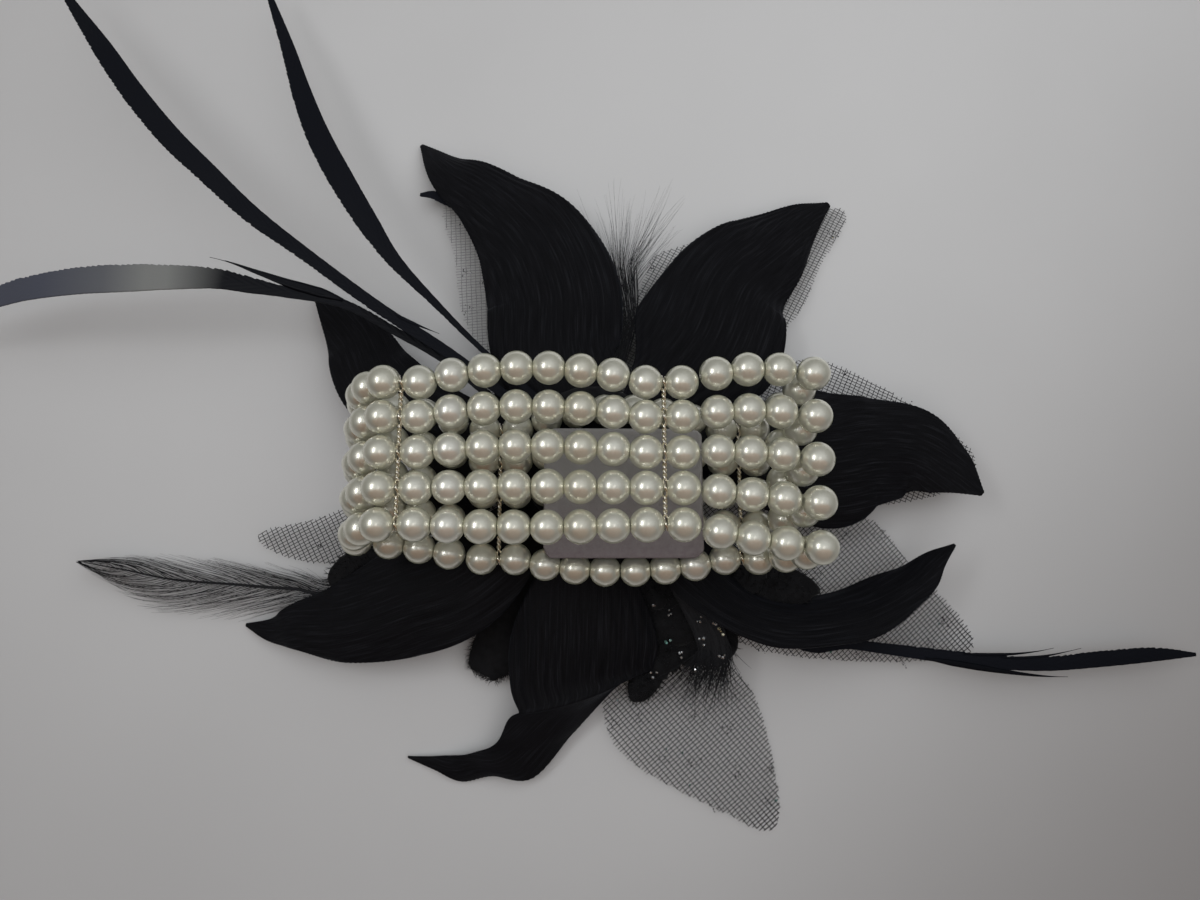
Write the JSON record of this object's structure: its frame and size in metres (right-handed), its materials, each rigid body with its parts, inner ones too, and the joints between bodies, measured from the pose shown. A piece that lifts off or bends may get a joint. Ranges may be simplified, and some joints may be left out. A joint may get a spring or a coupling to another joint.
{
  "type": "wrist corsage",
  "caption": "Black fabric flower with tulle leaves and feathers on a stretch bracelet of pearl strands held apart by wire spacer bars, lying face down with the band folded flat.",
  "frame": {"origin": "middle of the wrist pad's face, where the wrist rests", "axes": "+Z out of the pad, away from the flower; +X along the folded band, to the right in the picture; +Y across the band, up in the picture"},
  "size_m": [0.2802, 0.1996, 0.0491],
  "materials": {
    "pearls": "pearlescent ivory",
    "wire": "twisted silver wire",
    "pad_felt": "pale grey felt",
    "backing_felt": "black felt",
    "satin": "matte black satin",
    "tulle": "black net",
    "feather": "dyed black feather",
    "down": "black down",
    "velvet": "black velvet",
    "stamens": "black, stone set"
  },
  "bodies": {
    "flower_side": {"strand_1_flower_side": "pearls", "strand_2_flower_side": "pearls", "strand_3_flower_side": "pearls", "strand_4_flower_side": "pearls", "strand_5_flower_side": "pearls", "spacer_bar_flower_left": "wire", "spacer_bar_flower_right": "wire", "wrist_pad": "pad_felt", "backing_disc": "backing_felt", "flower_post": "backing_felt", "petal_top_left": "satin", "petal_top_right": "satin", "petal_right": "satin", "petal_lower_right": "satin", "petal_bottom": "satin", "petal_lower_left": "satin", "petal_left": "satin", "tulle_leaf_top_left": "tulle", "tulle_leaf_top_right": "tulle", "tulle_leaf_right": "tulle", "tulle_leaf_lower_right": "tulle", "tulle_leaf_bottom": "tulle", "tulle_leaf_left": "tulle", "long_feather_1": "feather", "long_feather_2": "feather", "long_feather_3": "feather", "slim_feather": "feather", "short_feather": "feather", "hackle_feather": "feather", "down_tuft_top": "down", "down_tuft_bottom": "down", "velvet_lobe": "velvet", "crystal_stamens": "stamens"},
    "right_lower_link": {"strand_1_right_lower": "pearls", "strand_2_right_lower": "pearls", "strand_3_right_lower": "pearls", "strand_4_right_lower": "pearls", "strand_5_right_lower": "pearls"},
    "right_upper_link": {"strand_1_right_upper": "pearls", "strand_2_right_upper": "pearls", "strand_3_right_upper": "pearls", "strand_4_right_upper": "pearls", "strand_5_right_upper": "pearls"},
    "palm_side": {"strand_1_palm_side": "pearls", "strand_2_palm_side": "pearls", "strand_3_palm_side": "pearls", "strand_4_palm_side": "pearls", "strand_5_palm_side": "pearls", "spacer_bar_palm_left": "wire", "spacer_bar_palm_right": "wire"},
    "left_upper_link": {"strand_1_left_upper": "pearls", "strand_2_left_upper": "pearls", "strand_3_left_upper": "pearls", "strand_4_left_upper": "pearls", "strand_5_left_upper": "pearls"},
    "left_lower_link": {"strand_1_left_lower": "pearls", "strand_2_left_lower": "pearls", "strand_3_left_lower": "pearls", "strand_4_left_lower": "pearls", "strand_5_left_lower": "pearls"}
  },
  "joints": [
    {"name": "band_opening", "type": "hinge", "parent": "flower_side", "child": "left_lower_link", "pos_m": [-0.02744, 0, -0.0045], "axis": [0, 1, 0], "range_deg": [0, 60]},
    {"name": "left_corner", "type": "hinge", "parent": "left_lower_link", "child": "left_upper_link", "pos_m": [-0.05161, 0, -0.00323], "axis": [0, 1, 0], "range_deg": [-90, 0]},
    {"name": "palm_left", "type": "hinge", "parent": "left_upper_link", "child": "palm_side", "pos_m": [-0.04348, 0, 0.01272], "axis": [0, 1, 0], "range_deg": [0, 30]},
    {"name": "right_fold", "type": "hinge", "parent": "flower_side", "child": "right_lower_link", "pos_m": [0.02624, 0, -0.0045], "axis": [0, 1, 0], "range_deg": [-30, 0]},
    {"name": "right_corner", "type": "hinge", "parent": "right_lower_link", "child": "right_upper_link", "pos_m": [0.03437, 0, 0.01145], "axis": [0, 1, 0], "range_deg": [0, 90]}
  ],
  "couplings": [
    {"joint": "left_corner", "follows": "band_opening", "ratio": -1.5},
    {"joint": "palm_left", "follows": "band_opening", "ratio": 0.5},
    {"joint": "right_fold", "follows": "band_opening", "ratio": -0.5},
    {"joint": "right_corner", "follows": "band_opening", "ratio": 1.5}
  ]
}
